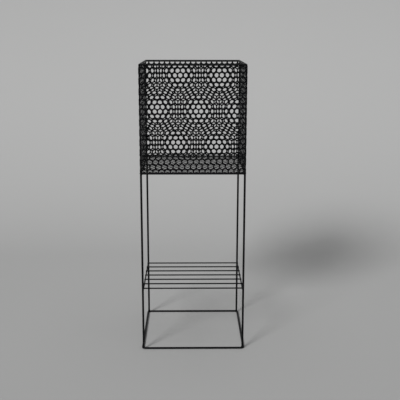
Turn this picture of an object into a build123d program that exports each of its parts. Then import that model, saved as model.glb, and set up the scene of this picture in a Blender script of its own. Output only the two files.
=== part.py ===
from build123d import *

import os
from math import cos, radians, sin, sqrt

# A raised planter: a square box of perforated sheet steel on a welded stand of round rod.
#
# +Z is up, +X is to the right and -Y is the front. The origin is the middle of the footprint,
# on the ground. All lengths are in millimetres.
#
# The real walls and floor are punched all over with 13 mm holes in staggered rows. Here they are
# plain sheets: nothing is mounted by those holes, and the visual model has every one of them.

# Planter box
box_side = 300.0  # across the outside of the walls
wall_height = 300.0
sheet = 1.0  # thickness of the walls and floor
rim_rod = 6.0  # welded round the inside of the top edge
corner_rod = 4.0  # welded up the inside of each corner
corner_gap = 0.3  # between a corner rod and the notch that it passes through

# Stand
stand_height = 534.0  # from the ground to the underside of the box
frame_rod = 6.0  # legs, rails and base ring
ring_bend = 9.0  # radius of the base ring's corner bends, at the middle of the rod

# Shelf
shelf_top = 183.0
shelf_rod = 4.0
shelf_rods = 7
shelf_margin = 24.0  # from the middle of a leg to the first cross rod

# Places that follow from the sizes above
leg_place = box_side / 2 - frame_rod / 2  # legs stand flush with the walls
ring_half = leg_place + ring_bend * (1 - sqrt(0.5))  # puts each leg on the crown of a bend
rail_height = stand_height - frame_rod / 2
inner_half = box_side / 2 - sheet
rim_half = inner_half - rim_rod / 2
rim_height = stand_height + wall_height
corner_place = inner_half - corner_rod / 2
notch = corner_rod + corner_gap
shelf_reach = leg_place - shelf_margin
shelf_step = 2 * shelf_reach / (shelf_rods - 1)
cross_rod_height = shelf_top - shelf_rod / 2
side_rod_height = cross_rod_height - shelf_rod

# Each side's turn about the middle, and each corner's place, seen from above
sides = {"front": 0, "right": 90, "back": 180, "left": 270}
corners = {
    "front_left": (-1, -1),
    "front_right": (1, -1),
    "back_left": (-1, 1),
    "back_right": (1, 1),
}


def facing_side(turn, out, up):
    """The upright plane on one side of the planter, with its normal pointing outwards."""
    along = (cos(radians(turn)), sin(radians(turn)), 0)
    normal = (sin(radians(turn)), -cos(radians(turn)), 0)
    return Plane(origin=(out * normal[0], out * normal[1], up), x_dir=along, z_dir=normal)


def across_side(turn, out, up):
    """The upright plane that cuts one side of the planter in the middle, square to it."""
    side = facing_side(turn, out, up)
    return Plane(origin=side.origin, x_dir=side.z_dir, z_dir=side.x_dir)


def mitre(turn, hand):
    """The upright plane at 45 degrees through one end of a side, facing the side's middle."""
    side = facing_side(turn, 0, 0)
    return Plane(origin=(0, 0, 0), z_dir=side.z_dir + side.x_dir * hand)


def save(piece, name):
    """Labels a finished piece and writes it."""
    piece.label = name
    export_step(piece, f"parts/{name}.step")


os.makedirs("parts", exist_ok=True)

# Base ring: one rod bent into a square with round corners, lying on the ground
with BuildPart() as base_ring:
    with BuildLine(Plane.XY.offset(frame_rod / 2)) as ring_line:
        FilletPolyline(
            (-ring_half, -ring_half),
            (ring_half, -ring_half),
            (ring_half, ring_half),
            (-ring_half, ring_half),
            radius=ring_bend,
            close=True,
        )
    with BuildSketch(Plane(origin=ring_line.line @ 0, z_dir=ring_line.line % 0)):
        Circle(frame_rod / 2)
    sweep()
save(base_ring.part, "base_ring")

# Legs: straight rods from the base ring to the underside of the box
for corner, (x_side, y_side) in corners.items():
    with BuildPart() as leg:
        with BuildSketch(Plane.XY.offset(frame_rod)):
            with Locations((x_side * leg_place, y_side * leg_place)):
                Circle(frame_rod / 2)
        extrude(amount=stand_height - frame_rod)
    save(leg.part, f"leg_{corner}")

# Support rails: butted between the legs, with their tops level with the legs' tops
for side, turn in sides.items():
    with BuildPart() as support_rail:
        with BuildSketch(across_side(turn, leg_place, rail_height)):
            Circle(frame_rod / 2)
        extrude(amount=leg_place - frame_rod / 2, both=True)
    save(support_rail.part, f"support_rail_{side}")

# Shelf: a rod between the legs on each side, with the cross rods laid over the two
for side in ("left", "right"):
    with BuildPart() as side_rod:
        with BuildSketch(across_side(sides[side], leg_place, side_rod_height)):
            Circle(shelf_rod / 2)
        extrude(amount=leg_place - frame_rod / 2, both=True)
    save(side_rod.part, f"shelf_side_rod_{side}")

for number in range(shelf_rods):
    with BuildPart() as cross_rod:
        with BuildSketch(Plane.YZ):
            with Locations((number * shelf_step - shelf_reach, cross_rod_height)):
                Circle(shelf_rod / 2)
        extrude(amount=leg_place + shelf_rod / 2, both=True)
    save(cross_rod.part, f"shelf_rod_{number + 1}")

# Floor of the box: a plain sheet on the support rails, inside the walls, notched at its corners
with BuildPart() as floor_panel:
    with BuildSketch(Plane.XY.offset(stand_height)):
        Rectangle(2 * inner_half, 2 * inner_half)
        with GridLocations(2 * inner_half, 2 * inner_half, 2, 2):
            Rectangle(2 * notch, 2 * notch, mode=Mode.SUBTRACT)
    extrude(amount=sheet)
save(floor_panel.part, "floor_panel")

# Walls: plain sheets, of which the front and back ones lap over the ends of the other two
for side, turn in sides.items():
    width = box_side if side in ("front", "back") else 2 * inner_half
    with BuildPart() as wall:
        with BuildSketch(facing_side(turn, box_side / 2, stand_height)):
            Rectangle(width, wall_height, align=(Align.CENTER, Align.MIN))
        extrude(amount=-sheet)
    save(wall.part, f"{side}_panel")

# Rim: four rods mitred at the corners, half proud of the walls' top edge
for side, turn in sides.items():
    with BuildPart() as rim:
        with BuildSketch(across_side(turn, rim_half, rim_height)):
            Circle(rim_rod / 2)
        extrude(amount=inner_half, both=True)
        split(bisect_by=mitre(turn, 1), keep=Keep.TOP)
        split(bisect_by=mitre(turn, -1), keep=Keep.TOP)
    save(rim.part, f"rim_rod_{side}")

# Corner rods: stand on the legs and reach up to the mitres of the rim
for corner, (x_side, y_side) in corners.items():
    with BuildPart() as corner_post:
        with BuildSketch(Plane.XY.offset(stand_height)):
            with Locations((x_side * corner_place, y_side * corner_place)):
                Circle(corner_rod / 2)
        extrude(amount=wall_height - rim_rod / 2)
    save(corner_post.part, f"corner_rod_{corner}")
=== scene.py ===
"""The looks of a raised metal planter: a box of perforated sheet on a welded stand of round rod.

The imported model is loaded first, as a fixed frame, and nothing in it is moved. Its rods keep their own
meshes and are painted. Its five plain sheets are replaced by sheets with their real round holes, and
weld beads are added wherever two pieces of metal meet. Sizes are in metres and angles in degrees,
unless a comment says otherwise.
"""

import logging
import math
from collections.abc import Callable, Iterator
from contextlib import contextmanager
from dataclasses import dataclass
from enum import Enum

import bpy
from mathutils import Euler, Matrix, Vector


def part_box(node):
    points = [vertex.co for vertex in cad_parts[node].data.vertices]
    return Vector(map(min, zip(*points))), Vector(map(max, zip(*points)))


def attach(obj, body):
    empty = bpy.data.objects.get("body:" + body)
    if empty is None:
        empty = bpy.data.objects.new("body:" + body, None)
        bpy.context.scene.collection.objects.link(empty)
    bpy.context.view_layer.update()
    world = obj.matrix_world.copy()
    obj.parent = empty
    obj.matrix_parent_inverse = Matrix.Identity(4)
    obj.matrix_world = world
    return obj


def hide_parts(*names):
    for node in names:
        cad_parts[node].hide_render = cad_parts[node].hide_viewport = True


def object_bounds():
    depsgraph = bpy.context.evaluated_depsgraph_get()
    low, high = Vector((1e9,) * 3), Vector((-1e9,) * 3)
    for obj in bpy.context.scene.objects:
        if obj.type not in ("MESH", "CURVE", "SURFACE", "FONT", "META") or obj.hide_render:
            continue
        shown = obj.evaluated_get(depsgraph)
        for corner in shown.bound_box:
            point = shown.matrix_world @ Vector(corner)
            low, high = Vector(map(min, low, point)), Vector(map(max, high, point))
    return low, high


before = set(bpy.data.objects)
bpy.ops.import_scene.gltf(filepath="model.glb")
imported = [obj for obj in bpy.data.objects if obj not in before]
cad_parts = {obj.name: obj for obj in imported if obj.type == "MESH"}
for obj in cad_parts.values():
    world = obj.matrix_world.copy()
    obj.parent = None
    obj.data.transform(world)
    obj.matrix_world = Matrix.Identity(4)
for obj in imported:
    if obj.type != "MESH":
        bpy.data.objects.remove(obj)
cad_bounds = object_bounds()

log = logging.getLogger("planter")

BODY = "root"
TOUCH = 1e-6  # points nearer to each other than this are one point
WELD_CREASE = 80.0  # welds are shaded smooth over every edge flatter than this
X, Y, Z = 0, 1, 2

Piece = bpy.types.Object
Colour = tuple[float, float, float]


class Slot(Enum):
    """The record's material slots, one for each kind of painted stock."""

    FRAME = "frame_rod"
    BOX = "box_rod"
    SHELF = "shelf_rod"
    SHEET = "perforated_sheet"


def deselect() -> None:
    """Leaves nothing selected, so that the next operator acts on its own piece alone."""
    if bpy.context.object and bpy.context.object.mode != "OBJECT":
        bpy.ops.object.mode_set(mode="OBJECT")
    bpy.ops.object.select_all(action="DESELECT")


def hold(piece: Piece) -> None:
    """Makes a piece the only selected one, and the active one.

    Args:
        piece: the piece that the next operator acts on.
    """
    deselect()
    piece.select_set(True)
    bpy.context.view_layer.objects.active = piece


@contextmanager
def editing(piece: Piece, chosen: Callable[[Vector], bool] | None = None) -> Iterator[None]:
    """Edit mode on one piece, with some or all of its vertices selected.

    Args:
        piece: the mesh piece to edit.
        chosen: a test on a vertex's place; without one, everything is selected.
    """
    hold(piece)
    bpy.ops.object.mode_set(mode="EDIT")
    bpy.ops.mesh.select_mode(type="VERT")
    bpy.ops.mesh.select_all(action="SELECT" if chosen is None else "DESELECT")
    if chosen is not None:
        bpy.ops.object.mode_set(mode="OBJECT")
        for vertex in piece.data.vertices:
            vertex.select = chosen(vertex.co)
        bpy.ops.object.mode_set(mode="EDIT")
    yield
    bpy.ops.object.mode_set(mode="OBJECT")


def apply_modifiers(piece: Piece) -> None:
    """Applies all of a piece's modifiers, in their order.

    Args:
        piece: the piece that carries them.
    """
    hold(piece)
    for modifier in list(piece.modifiers):
        bpy.ops.object.modifier_apply(modifier=modifier.name)


def settle(piece: Piece, place: Matrix) -> None:
    """Moves a piece and puts its place into its mesh, so that its object stays at the origin.

    Args:
        piece: the piece to move.
        place: where its own origin and axes go.
    """
    hold(piece)
    piece.matrix_world = place
    bpy.ops.object.transform_apply(location=True, rotation=True, scale=True)


def smooth(piece: Piece, angle: float = 40.0) -> None:
    """Shades a piece smooth, but for edges sharper than an angle."""
    hold(piece)
    bpy.ops.object.shade_smooth_by_angle(angle=math.radians(angle))


def named(piece: Piece, name: str) -> Piece:
    """Gives a piece and its mesh their name.

    Args:
        piece: the piece to name.
        name: its name.

    Returns:
        The same piece.
    """
    piece.name = name
    piece.data.name = name
    return piece


def copy_of(master: Piece, name: str) -> Piece:
    """Copies a piece together with its mesh.

    Args:
        master: the piece that is copied.
        name: the copy's name.

    Returns:
        The copy, in the same place.
    """
    copy = master.copy()
    copy.data = master.data.copy()
    bpy.context.scene.collection.objects.link(copy)
    return named(copy, name)


def stamped(master: Piece, places: list[Matrix], name: str) -> Piece:
    """Copies of one piece at several places, joined into one.

    Args:
        master: the piece that is copied.
        places: where each copy goes.
        name: the joined piece's name.

    Returns:
        The joined piece, with its object at the origin.
    """
    copies = [copy_of(master, name) for _ in places]
    for copy, place in zip(copies, places):
        settle(copy, place)
    deselect()
    for copy in copies:
        copy.select_set(True)
    bpy.context.view_layer.objects.active = copies[0]
    if len(copies) > 1:
        bpy.ops.object.join()
    return named(copies[0], name)


def thrown_away(piece: Piece) -> None:
    """Removes a piece that was only there to be copied."""
    bpy.data.meshes.remove(piece.data)


def unit(axis: int) -> Vector:
    """The direction of one of the world's axes: X, Y or Z."""
    return Vector([float(axis == each) for each in (X, Y, Z)])


def frame_of(along: Vector, middle: Vector) -> Matrix:
    """The place at a point whose Z axis runs along a direction."""
    return Matrix.Translation(middle) @ along.to_track_quat("Z", "Y").to_matrix().to_4x4()


class Value:
    """A number that may change over a surface: one output socket, with arithmetic that adds nodes."""

    def __init__(self, tree: bpy.types.NodeTree, socket: bpy.types.NodeSocket) -> None:
        """Wraps an output socket of a node tree."""
        self.tree = tree
        self.socket = socket

    def maths(self, operation: str, *values: "Value | float") -> "Value":
        """Adds a Math node.

        Args:
            operation: the node's operation, such as MULTIPLY.
            values: what goes into its sockets, in their order.

        Returns:
            What comes out of it.
        """
        node = self.tree.nodes.new("ShaderNodeMath")
        node.operation = operation
        for socket, value in zip(node.inputs, values):
            if isinstance(value, Value):
                self.tree.links.new(value.socket, socket)
            else:
                socket.default_value = value
        return Value(self.tree, node.outputs[0])

    def __add__(self, other: "Value | float") -> "Value":
        """The sum."""
        return self.maths("ADD", self, other)

    __radd__ = __add__

    def __mul__(self, other: "Value | float") -> "Value":
        """The product."""
        return self.maths("MULTIPLY", self, other)

    __rmul__ = __mul__

    def above(self, low: float, high: float) -> "Value":
        """Makes a mask that climbs smoothly from 0 to 1.

        Args:
            low: the level at which it leaves 0.
            high: the level at which it reaches 1.

        Returns:
            The mask.
        """
        node = self.tree.nodes.new("ShaderNodeMapRange")
        node.interpolation_type = "SMOOTHSTEP"
        self.tree.links.new(self.socket, node.inputs["Value"])
        node.inputs["From Min"].default_value = low
        node.inputs["From Max"].default_value = high
        return Value(self.tree, node.outputs["Result"])


class Finish:
    """A material made of nodes: one Principled shader, and what changes over the surface."""

    def __init__(self, name: str) -> None:
        """Makes the material with its output and its Principled shader.

        Args:
            name: the material's name.
        """
        self.material = bpy.data.materials.new(name)
        self.material.use_nodes = True
        self.tree = self.material.node_tree
        self.tree.nodes.clear()
        self.shader = self.add("ShaderNodeBsdfPrincipled")
        self.add("ShaderNodeOutputMaterial", Surface=self.shader.outputs["BSDF"])

    def add(
        self, kind: str, settings: dict[str, object] | None = None, **inputs: object
    ) -> bpy.types.Node:
        """Adds a node.

        Args:
            kind: the node's type.
            settings: its properties, set before its sockets.
            inputs: values or links for its sockets, by name, with _ for a space.

        Returns:
            The node.
        """
        node = self.tree.nodes.new(kind)
        for name, setting in (settings or {}).items():
            setattr(node, name, setting)
        for name, value in inputs.items():
            self.feed(node.inputs[name.replace("_", " ")], value)
        return node

    def feed(self, socket: bpy.types.NodeSocket, value: object) -> None:
        """Fills one input socket.

        Args:
            socket: the socket to fill.
            value: a plain value, or a Value or an output socket to link it to.
        """
        if isinstance(value, Value):
            self.tree.links.new(value.socket, socket)
        elif isinstance(value, bpy.types.NodeSocket):
            self.tree.links.new(value, socket)
        else:
            socket.default_value = value

    def value(self, node: bpy.types.Node, output: str | int = 0) -> Value:
        """One output of a node, as a Value."""
        return Value(self.tree, node.outputs[output])

    def noise(self, size: float, detail: float = 2.0) -> Value:
        """Soft noise through the metal's own space.

        Args:
            size: the width of its largest patches, in metres.
            detail: how many finer layers it has.

        Returns:
            The noise, about 0 to 1.
        """
        where = self.add("ShaderNodeTexCoord").outputs["Object"]
        return self.value(self.add("ShaderNodeTexNoise", Vector=where, Scale=1 / size, Detail=detail))

    def mix(self, share: Value, first: Colour, second: Colour) -> bpy.types.NodeSocket:
        """Mixes two colours.

        Args:
            share: how much of the second colour there is, from 0 to 1.
            first: the colour where the share is 0.
            second: the colour where it is 1.

        Returns:
            The socket that the mixed colour comes out of.
        """
        node = self.add("ShaderNodeMix", {"data_type": "RGBA"})
        colours = [socket for socket in node.inputs if socket.type == "RGBA"]
        for socket, colour in zip(colours, (first, second)):
            socket.default_value = (*colour, 1.0)
        self.feed(node.inputs[0], share)
        return next(socket for socket in node.outputs if socket.type == "RGBA")

    def relief(self, height: Value, depth: float) -> bpy.types.NodeSocket:
        """The surface's normal, pushed about by a height of some depth in metres."""
        return self.add("ShaderNodeBump", Height=height, Strength=1.0, Distance=depth).outputs["Normal"]


@dataclass(frozen=True)
class BlackPaint:
    """Black powder paint baked on steel.

    It is finely pebbled, a little uneven in gloss, and greyer on faces that look up, which is partly dust
    and partly a painted highlight of the light from above.
    """

    name: str
    paint: Colour = (0.0022, 0.0024, 0.0029)
    # greyer colour of up-facing faces: partly dust, partly a painted highlight of the overhead light
    dust_and_highlight: Colour = (0.012, 0.013, 0.015)
    dust_and_highlight_share: float = 0.35  # how much of the greyer colour shows where the dust and the painted highlight lie thickest
    dust_matt: float = 0.3  # how much roughness the dust adds
    dust_and_highlight_slope: tuple[float, float] = (0.2, 1.0)  # the normal's Z where the dust and the painted highlight start, and are full
    dust_and_highlight_patches: tuple[float, float] = (0.35, 0.7)  # the patches' levels where the dust and the painted highlight start, and are full
    roughness: float = 0.42
    roughness_spread: float = 0.16
    shine: float = 0.09
    pebble: float = 0.0011
    pebble_depth: float = 0.00004
    patch: float = 0.045

    def make(self) -> bpy.types.Material:
        """Builds the paint's nodes.

        Returns:
            The material.
        """
        finish = Finish(self.name)
        patches = finish.noise(self.patch, detail=4.0)
        pebbles = finish.noise(self.pebble, detail=1.0)
        normal = finish.add("ShaderNodeNewGeometry").outputs["Normal"]
        facing = finish.add("ShaderNodeSeparateXYZ", Vector=normal)
        # Faces that look up are painted greyer: partly dust, partly a painted highlight of the light from
        # above.
        upward = finish.value(facing, "Z").above(*self.dust_and_highlight_slope)
        dust_and_highlight_mask = upward * patches.above(*self.dust_and_highlight_patches) * self.dust_and_highlight_share
        finish.feed(finish.shader.inputs["Base Color"], finish.mix(dust_and_highlight_mask, self.paint, self.dust_and_highlight))
        least = self.roughness - self.roughness_spread / 2
        roughness = patches * self.roughness_spread + least + dust_and_highlight_mask * self.dust_matt
        finish.feed(finish.shader.inputs["Roughness"], roughness)
        finish.shader.inputs["Specular IOR Level"].default_value = self.shine
        finish.feed(finish.shader.inputs["Normal"], finish.relief(pebbles, self.pebble_depth))
        return finish.material


@dataclass(frozen=True)
class PaleBackground:
    """The studio's paper: one matt grey with the faintest unevenness."""

    name: str
    tone: Colour = (0.352, 0.352, 0.350)
    darkest: float = 0.97  # of the tone
    patch: float = 0.9
    roughness: float = 0.9
    shine: float = 0.1

    def make(self) -> bpy.types.Material:
        """Builds the paper's nodes.

        Returns:
            The material.
        """
        finish = Finish(self.name)
        darker = tuple(self.darkest * part for part in self.tone)
        colour = finish.mix(finish.noise(self.patch), self.tone, darker)
        finish.feed(finish.shader.inputs["Base Color"], colour)
        finish.shader.inputs["Roughness"].default_value = self.roughness
        finish.shader.inputs["Specular IOR Level"].default_value = self.shine
        return finish.material


@dataclass(frozen=True)
class Rod:
    """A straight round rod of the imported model, as its box gives it."""

    node: str
    low: Vector
    high: Vector

    @classmethod
    def of(cls, node: str) -> "Rod":
        """Reads a node's box."""
        return cls(node, *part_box(node))

    @property
    def axis(self) -> int:
        """The axis that it is longest along: X, Y or Z."""
        size = self.high - self.low
        return max((X, Y, Z), key=lambda axis: size[axis])

    @property
    def radius(self) -> float:
        """Half its thickness."""
        size = self.high - self.low
        return min(size) / 2

    @property
    def along(self) -> Vector:
        """The direction from its low end to its high end."""
        return unit(self.axis)

    def end(self, hand: int) -> Vector:
        """Finds the middle of one of its ends.

        Args:
            hand: -1 for its low end, 1 for its high end.

        Returns:
            The point.
        """
        middle = (self.low + self.high) / 2
        middle[self.axis] = self.high[self.axis] if hand > 0 else self.low[self.axis]
        return middle


@dataclass(frozen=True)
class Punching:
    """The hole pattern that all five sheets are cut from: round holes in staggered rows."""

    pitch: float = 0.016351
    hole: float = 0.01296
    facets: int = 18

    @property
    def row(self) -> float:
        """The distance between rows."""
        return self.pitch * math.sqrt(3) / 2

    def cell(self) -> Piece:
        """Models one hexagon of sheet round its hole.

        Returns:
            The cell, lying flat about the origin, without thickness.
        """
        deselect()
        corners = 6
        bpy.ops.mesh.primitive_circle_add(vertices=corners, radius=self.pitch / math.sqrt(3))
        piece = bpy.context.object
        with editing(piece):
            bpy.ops.mesh.subdivide(number_cuts=self.facets // corners - 1)
            bpy.ops.mesh.select_all(action="DESELECT")
            bpy.ops.mesh.primitive_circle_add(vertices=self.facets, radius=self.hole / 2)
            bpy.ops.mesh.select_all(action="SELECT")
            bpy.ops.mesh.bridge_edge_loops()
        return piece

    def stock(self, width: float, height: float) -> Piece:
        """A flat run of cells large enough to cut a sheet from, with a hole at the origin.

        Args:
            width: the sheet's width.
            height: its height.

        Returns:
            The stock, without thickness.
        """
        piece = self.cell()
        spare = 4
        columns = 2 * math.ceil(width / self.pitch / 2) + spare
        pairs = 2 * math.ceil(height / self.row / 4) + spare  # of rows
        runs = ((2, self.pitch / 2, self.row), (columns, self.pitch, 0), (pairs, 0, 2 * self.row))
        for count, across, up in runs:
            run = piece.modifiers.new("run", "ARRAY")
            run.count = count
            run.use_relative_offset = False
            run.use_constant_offset = True
            run.constant_offset_displace = (across, up, 0)
        apply_modifiers(piece)
        with editing(piece):
            bpy.ops.mesh.remove_doubles(threshold=TOUCH)
        first = (-(columns // 2) * self.pitch, -(pairs // 2) * 2 * self.row, 0)
        settle(piece, Matrix.Translation(first))
        return piece


@dataclass(frozen=True)
class PerforatedSheet:
    """One side or the floor of the box: a sheet cut through its holes wherever its edges fall.

    Across and up are the world's axes that the rows of holes run along and climb. The hole nearest the
    sheet's middle is off it by the two shifts, and the rows are turned by the skew.
    """

    node: str
    across: int
    up: int
    shift_across: float
    shift_up: float
    skew: float = 0.0
    notch: float = 0.0
    punching: Punching = Punching()

    def build(self) -> Piece:
        """Cuts the sheet and gives it its thickness and place.

        Returns:
            The sheet, where its node is.
        """
        low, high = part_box(self.node)
        middle = (low + high) / 2
        size = high - low
        through = X + Y + Z - self.across - self.up
        half = (size[self.across] / 2, size[self.up] / 2)
        piece = self.punching.stock(2 * half[0], 2 * half[1])
        turn = Matrix.Rotation(math.radians(self.skew), 4, "Z")
        settle(piece, Matrix.Translation((self.shift_across, self.shift_up, 0)) @ turn)
        self.cut(piece, half)
        shell = piece.modifiers.new("thickness", "SOLIDIFY")
        shell.thickness = size[through]
        shell.offset = 0
        apply_modifiers(piece)
        rows, climb = unit(self.across), unit(self.up)
        axes = Matrix((rows, climb, rows.cross(climb))).transposed().to_4x4()
        settle(piece, Matrix.Translation(middle) @ axes)
        smooth(piece)
        return named(piece, f"perforated_{self.node}")

    def cut(self, piece: Piece, half: tuple[float, float]) -> None:
        """Trims the stock to the sheet's outline, and takes square notches out of its corners.

        Args:
            piece: the flat stock.
            half: half the sheet's width and height.
        """
        with editing(piece):
            for axis in (X, Y):
                for hand in (-1, 1):
                    edge = [0.0, 0.0, 0.0]
                    edge[axis] = hand * half[axis]
                    outward = [0.0, 0.0, 0.0]
                    outward[axis] = float(hand)
                    bpy.ops.mesh.select_all(action="SELECT")
                    bpy.ops.mesh.bisect(plane_co=edge, plane_no=outward, clear_outer=True)
                    if self.notch:
                        edge[axis] = hand * (half[axis] - self.notch)
                        bpy.ops.mesh.select_all(action="SELECT")
                        bpy.ops.mesh.bisect(plane_co=edge, plane_no=outward)
            bpy.ops.mesh.select_all(action="SELECT")
            bpy.ops.mesh.remove_doubles(threshold=TOUCH)
        if self.notch:
            inner = [side - self.notch - TOUCH for side in half]
            with editing(piece, lambda place: abs(place.x) > inner[X] and abs(place.y) > inner[Y]):
                bpy.ops.mesh.delete(type="FACE")


@dataclass(frozen=True)
class WeldCollar:
    """A bead laid round the end of a rod: a ring of overlapping puddles."""

    reach: float  # from the middle of the rod to the middle of the bead
    bead: float  # the bead's own radius
    puddles: int = 9
    swell: float = 0.00022  # how far each puddle's crest stands out
    stretch: float = 1.0  # how much wider than deep the collar is, for a rod that is cut on the slant

    def build(self) -> Piece:
        """Models one collar about the Z axis, at the origin.

        Returns:
            The collar, to be copied to each rod's end.
        """
        deselect()
        steps = 3
        bpy.ops.mesh.primitive_torus_add(
            major_segments=self.puddles * steps,
            minor_segments=8,
            major_radius=self.reach,
            minor_radius=self.bead,
        )
        piece = bpy.context.object
        turn = 2 * math.pi / self.puddles
        crest = turn / steps / 2

        def on_crest(place: Vector) -> bool:
            """Whether a vertex is nearest to the middle of a puddle."""
            return abs(math.remainder(math.atan2(place.y, place.x), turn)) < crest

        with editing(piece, on_crest):
            bpy.ops.transform.shrink_fatten(value=self.swell)
        with editing(piece):
            bpy.ops.transform.resize(value=(self.stretch, 1, 1), center_override=(0, 0, 0))
        smooth(piece, WELD_CREASE)
        return piece


@dataclass(frozen=True)
class WeldDrop:
    """A tack: one drop of weld metal, a little uneven."""

    size: tuple[float, float, float]
    unevenness: float = 0.035  # of its size
    seed: int = 4

    def build(self) -> Piece:
        """Models one drop at the origin, long in X.

        Returns:
            The drop, to be copied to each place.
        """
        deselect()
        bpy.ops.mesh.primitive_ico_sphere_add(subdivisions=2, radius=0.5)
        piece = bpy.context.object
        with editing(piece):
            bpy.ops.transform.vertex_random(offset=self.unevenness, uniform=0.5, normal=0.5, seed=self.seed)
            bpy.ops.transform.resize(value=self.size, center_override=(0, 0, 0))
        smooth(piece, WELD_CREASE)
        return piece


@dataclass(frozen=True)
class Welds:
    """Every weld of the planter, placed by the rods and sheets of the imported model."""

    frame_collar: WeldCollar = WeldCollar(reach=0.0025, bead=0.0014)
    shelf_collar: WeldCollar = WeldCollar(reach=0.0016, bead=0.0010, puddles=7)
    corner_collar: WeldCollar = WeldCollar(reach=0.0016, bead=0.0008, puddles=7)
    mitre_collar: WeldCollar = WeldCollar(reach=0.0027, bead=0.0005, swell=0.0001, stretch=math.sqrt(2))
    mitre_sink: float = 0.0003
    nugget: WeldDrop = WeldDrop(size=(0.0054, 0.0054, 0.0024), seed=7)
    tack: WeldDrop = WeldDrop(size=(0.0060, 0.0018, 0.0017))
    tack_columns: tuple[int, ...] = (-2, -1, 0, 1, 2)
    tack_step: float = 0.058  # between columns
    tack_levels: tuple[int, ...] = (1, 2, 3)
    tack_rise: float = 0.075  # between levels
    floor_tack_rise: float = 0.001

    def build(self) -> dict[Slot, list[Piece]]:
        """Makes all the welds.

        Returns:
            The pieces, by the slot that they are painted as.
        """
        return {
            Slot.FRAME: self.frame_welds(),
            Slot.SHELF: self.shelf_welds(),
            Slot.BOX: self.corner_welds() + self.rim_welds(),
            Slot.SHEET: self.tacks(),
        }

    def collars(self, collar: WeldCollar, ends: list[tuple[str, int]]) -> list[Piece]:
        """One collar at each of the named rods' ends.

        Args:
            collar: the bead that is copied.
            ends: a rod's node, and its low (-1) or high (1) end.

        Returns:
            The copies, named after their rods.
        """
        master = collar.build()
        pieces = []
        for node, hand in ends:
            rod = Rod.of(node)
            name = f"weld_{node}_{'high' if hand > 0 else 'low'}_end"
            pieces.append(stamped(master, [frame_of(rod.along, rod.end(hand))], name))
        thrown_away(master)
        return pieces

    def frame_welds(self) -> list[Piece]:
        """Welds the legs' feet to the base ring, and both ends of each rail to the legs.

        Returns:
            One collar for each weld.
        """
        nodes = sorted(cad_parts)
        feet = [(node, -1) for node in nodes if node.startswith("leg_")]
        rails = [(node, hand) for node in nodes if node.startswith("support_rail") for hand in (-1, 1)]
        return self.collars(self.frame_collar, feet + rails)

    def shelf_welds(self) -> list[Piece]:
        """Welds the shelf's side rods to the legs, and the cross rods to the side rods.

        Returns:
            A collar at each end of a side rod, and a nugget wherever a cross rod lies on one.
        """
        sides = ("shelf_side_rod_left", "shelf_side_rod_right")
        pieces = self.collars(self.shelf_collar, [(node, hand) for node in sides for hand in (-1, 1)])
        master = self.nugget.build()
        for side in map(Rod.of, sides):
            for node in sorted(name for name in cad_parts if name.startswith("shelf_rod_")):
                cross = Rod.of(node)
                place = Vector((side.end(1).x, cross.end(1).y, side.high.z))
                name = f"weld_{node}_on_{side.node.split('_')[-1]}"
                pieces.append(stamped(master, [Matrix.Translation(place)], name))
        thrown_away(master)
        return pieces

    def corner_welds(self) -> list[Piece]:
        """The corner rods' feet on the legs."""
        posts = sorted(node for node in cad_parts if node.startswith("corner_rod"))
        return self.collars(self.corner_collar, [(node, -1) for node in posts])

    def rim_welds(self) -> list[Piece]:
        """Welds the rim's four mitres.

        Returns:
            One collar for each mitre.
        """
        front = Rod.of("rim_rod_front")
        right = Rod.of("rim_rod_right")
        out_x = (right.low.x + right.high.x) / 2
        out_y = -(front.low.y + front.high.y) / 2
        height = (front.low.z + front.high.z) / 2 - self.mitre_sink
        master = self.mitre_collar.build()
        pieces = []
        for x_hand, side in ((-1, "left"), (1, "right")):
            for y_hand, end in ((-1, "front"), (1, "back")):
                outward = Vector((x_hand, y_hand, 0)).normalized()
                up = unit(Z)
                axes = Matrix((outward, up, outward.cross(up))).transposed().to_4x4()
                corner = Matrix.Translation((x_hand * out_x, y_hand * out_y, height))
                pieces.append(stamped(master, [corner @ axes], f"weld_rim_{end}_{side}"))
        thrown_away(master)
        return pieces

    def tacks(self) -> list[Piece]:
        """Tacks each wall to its rail, the floor, the rim and the corner rods.

        Returns:
            One piece for each wall, made of all its tacks.
        """
        low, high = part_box("front_panel")
        post = Rod.of("corner_rod_front_left")
        groove = post.radius * math.sqrt(0.5)
        inner_face = high.y
        edge = (low.y + high.y) / 2
        floor_line = low.z + self.floor_tack_rise
        post_x = abs(post.end(1).x) - post.radius - groove / 2
        along = [number * self.tack_step for number in self.tack_columns]
        between = [x + self.tack_step / 2 for x in along[:-1]]
        levels = [low.z + number * self.tack_rise for number in self.tack_levels]
        upright = Matrix.Rotation(math.radians(90), 4, "Y")
        places = [Matrix.Translation((x, edge, z)) for x in along for z in (low.z, high.z)]
        places += [Matrix.Translation((x, inner_face, floor_line)) for x in between]
        for hand in (-1, 1):
            places += [Matrix.Translation((hand * post_x, inner_face, z)) @ upright for z in levels]
        master = self.tack.build()
        pieces = []
        for turns, side in enumerate(("front", "right", "back", "left")):
            turn = Matrix.Rotation(turns * math.pi / 2, 4, "Z")
            pieces.append(stamped(master, [turn @ place for place in places], f"tack_welds_{side}"))
        thrown_away(master)
        return pieces


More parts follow.
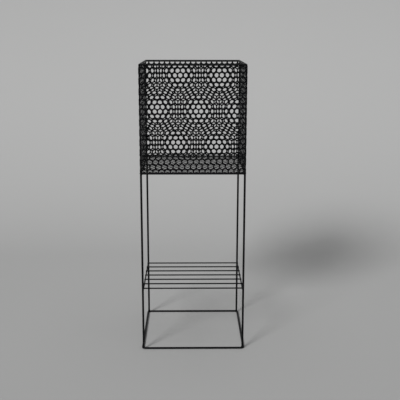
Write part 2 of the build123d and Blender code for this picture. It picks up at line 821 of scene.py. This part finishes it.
@dataclass(frozen=True)
class Studio:
    """A paper sweep, a big soft lamp at the front left, one overhead, and the photograph's camera."""

    lens: float = 66.427  # millimetres
    sensor: float = 36.0  # millimetres
    camera_place: tuple[float, float, float] = (-0.00685, -2.19888, 0.91875)
    camera_tilt: float = -12.7516
    camera_pan: float = -0.7493
    camera_roll: float = 0.0849
    floor_reach: float = 14.0
    sweep_start: float = 0.8  # how far behind the object the floor begins to curve up
    sweep_radius: float = 1.7
    sweep_steps: int = 24
    wall_top: float = 4.0
    lamp_bearing: float = 57.0
    lamp_rise: float = 33.0
    lamp_spread: float = 16.0
    lamp_strength: float = 3.15  # watts to the square metre
    top_height: float = 2.6
    top_size: float = 1.8
    top_power: float = 18.0  # watts
    room_light: float = 0.25
    room_tone: Colour = (0.98, 0.99, 1.0)
    far_tone: Colour = (0.335, 0.335, 0.333)

    def build(self) -> None:
        """Puts up the sweep, the lamps, the room's own light and the camera."""
        self.sweep()
        self.key_lamp()
        self.top_lamp()
        self.room()
        self.camera()

    def sweep(self) -> None:
        """Lays the floor, which curves up into a wall well behind the object."""
        deselect()
        bpy.ops.mesh.primitive_plane_add(size=2 * self.floor_reach)
        piece = named(bpy.context.object, "paper_sweep")
        back = self.sweep_start + self.sweep_radius
        settle(piece, Matrix.Translation((0, back - self.floor_reach, 0)))
        with editing(piece, lambda place: place.y > back - TOUCH):
            bpy.ops.mesh.extrude_region_move(TRANSFORM_OT_translate={"value": (0, 0, self.wall_top)})
        hold(piece)
        bend = piece.modifiers.new("bend", "BEVEL")
        bend.width = self.sweep_radius
        bend.segments = self.sweep_steps
        bend.limit_method = "ANGLE"
        apply_modifiers(piece)
        smooth(piece)
        piece.data.materials.append(PaleBackground("paper").make())

    def key_lamp(self) -> None:
        """Hangs the big soft lamp, so far to the front left that it lights the whole floor alike."""
        bearing = math.radians(self.lamp_bearing)
        rise = math.radians(self.lamp_rise)
        level = math.cos(rise)
        towards = Vector((math.cos(bearing) * level, math.sin(bearing) * level, -math.sin(rise)))
        light = bpy.data.lights.new("key", "SUN")
        light.angle = math.radians(self.lamp_spread)
        light.energy = self.lamp_strength
        self.hang(light, -towards, towards)

    def top_lamp(self) -> None:
        """Hangs the soft lamp overhead, which draws the thin light lines along the rods' tops."""
        light = bpy.data.lights.new("overhead", "AREA")
        light.shape = "SQUARE"
        light.size = self.top_size
        light.energy = self.top_power
        middle = (cad_bounds[0].z + cad_bounds[1].z) / 2
        self.hang(light, Vector((0, 0, middle + self.top_height)), Vector((0, 0, -1)))

    def hang(self, light: bpy.types.Light, place: Vector, towards: Vector) -> None:
        """Puts a lamp in its place, where the camera doesn't see it.

        Args:
            light: the lamp.
            place: where it hangs.
            towards: the direction that it shines in.
        """
        holder = bpy.data.objects.new(light.name, light)
        bpy.context.scene.collection.objects.link(holder)
        holder.location = place
        holder.rotation_euler = towards.to_track_quat("-Z", "Y").to_euler()
        holder.visible_camera = False

    def room(self) -> None:
        """Gives plain light from everywhere, and the floor's tone where the camera sees past it."""
        world = bpy.data.worlds.new("room")
        world.use_nodes = True
        bpy.context.scene.world = world
        tree = world.node_tree
        light = tree.nodes["Background"]
        light.inputs["Color"].default_value = (*self.room_tone, 1.0)
        light.inputs["Strength"].default_value = self.room_light
        seen = tree.nodes.new("ShaderNodeBackground")
        seen.inputs["Color"].default_value = (*self.far_tone, 1.0)
        path = tree.nodes.new("ShaderNodeLightPath")
        either = tree.nodes.new("ShaderNodeMixShader")
        tree.links.new(path.outputs["Is Camera Ray"], either.inputs[0])
        tree.links.new(light.outputs[0], either.inputs[1])
        tree.links.new(seen.outputs[0], either.inputs[2])
        tree.links.new(either.outputs[0], tree.nodes["World Output"].inputs["Surface"])

    def camera(self) -> None:
        """Sets up the photograph's camera, as its lines and its hole patterns give it."""
        data = bpy.data.cameras.new("camera")
        data.lens = self.lens
        data.sensor_width = self.sensor
        holder = bpy.data.objects.new("camera", data)
        bpy.context.scene.collection.objects.link(holder)
        tilt = math.radians(90 + self.camera_tilt)
        pan = math.radians(self.camera_pan)
        roll = math.radians(self.camera_roll)
        turn = Euler((tilt, 0, pan)).to_matrix() @ Matrix.Rotation(roll, 3, "Z")
        holder.matrix_world = Matrix.Translation(self.camera_place) @ turn.to_4x4()
        bpy.context.scene.camera = holder


@dataclass(frozen=True)
class Planter:
    """The object: painted rods, perforated sheets and welds, all on one body."""

    frame_paint: BlackPaint = BlackPaint("black_paint_frame_rod")
    # the rim and corner rods carry more of the greyer top colour: dust and painted highlight
    box_paint: BlackPaint = BlackPaint("black_paint_box_rod", dust_and_highlight_share=0.45)
    shelf_paint: BlackPaint = BlackPaint("black_paint_shelf_rod")
    sheet_paint: BlackPaint = BlackPaint(
        "black_paint_sheet",
        roughness=0.24,
        roughness_spread=0.1,
        shine=0.14,
        pebble=0.0009,
    )
    sheets: tuple[PerforatedSheet, ...] = (
        PerforatedSheet("front_panel", X, Z, shift_across=-0.00038, shift_up=0.00815, skew=0.658),
        PerforatedSheet("back_panel", X, Z, shift_across=0.00253, shift_up=0.00603, skew=0.206),
        PerforatedSheet("left_panel", Y, Z, shift_across=0.0012, shift_up=0.0052),
        PerforatedSheet("right_panel", Y, Z, shift_across=-0.0021, shift_up=0.0066),
        PerforatedSheet("floor_panel", X, Y, shift_across=0.0015, shift_up=0.0, notch=0.0043),
    )

    def build(self) -> None:
        """Dresses the rods and makes the sheets."""
        paints = {
            Slot.FRAME: self.frame_paint.make(),
            Slot.BOX: self.box_paint.make(),
            Slot.SHELF: self.shelf_paint.make(),
            Slot.SHEET: self.sheet_paint.make(),
        }
        for node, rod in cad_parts.items():
            rod.material_slots[0].material = paints[self.slot_of(node)]
        for sheet in self.sheets:
            piece = sheet.build()
            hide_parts(sheet.node)
            self.finish(piece, Slot.SHEET, paints)
        for slot, pieces in Welds().build().items():
            for piece in pieces:
                self.finish(piece, slot, paints)

    def finish(self, piece: Piece, slot: Slot, paints: dict[Slot, bpy.types.Material]) -> None:
        """Paints a new piece, puts it on the object's body and reports it.

        Args:
            piece: the piece, in its place.
            slot: the material slot that it takes its finish from.
            paints: the paint of each slot.
        """
        piece.data.materials.clear()
        piece.data.materials.append(paints[slot])
        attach(piece, BODY)
        log.info("%s: %d faces, %s", piece.name, len(piece.data.polygons), slot.value)

    def slot_of(self, node: str) -> Slot:
        """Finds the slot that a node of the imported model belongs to.

        Args:
            node: the node's name, which says what kind of stock it is.

        Returns:
            The slot.
        """
        if node.startswith("shelf_"):
            return Slot.SHELF
        if node.startswith(("rim_rod", "corner_rod")):
            return Slot.BOX
        if node.endswith("_panel"):
            return Slot.SHEET
        return Slot.FRAME


def main() -> None:
    """Builds the object and its studio, and reports each piece."""
    logging.basicConfig(level=logging.INFO, format="%(name)s: %(message)s")
    Studio().build()
    Planter().build()
    bpy.context.scene.view_settings.view_transform = "Standard"


if __name__ == "__main__":
    main()
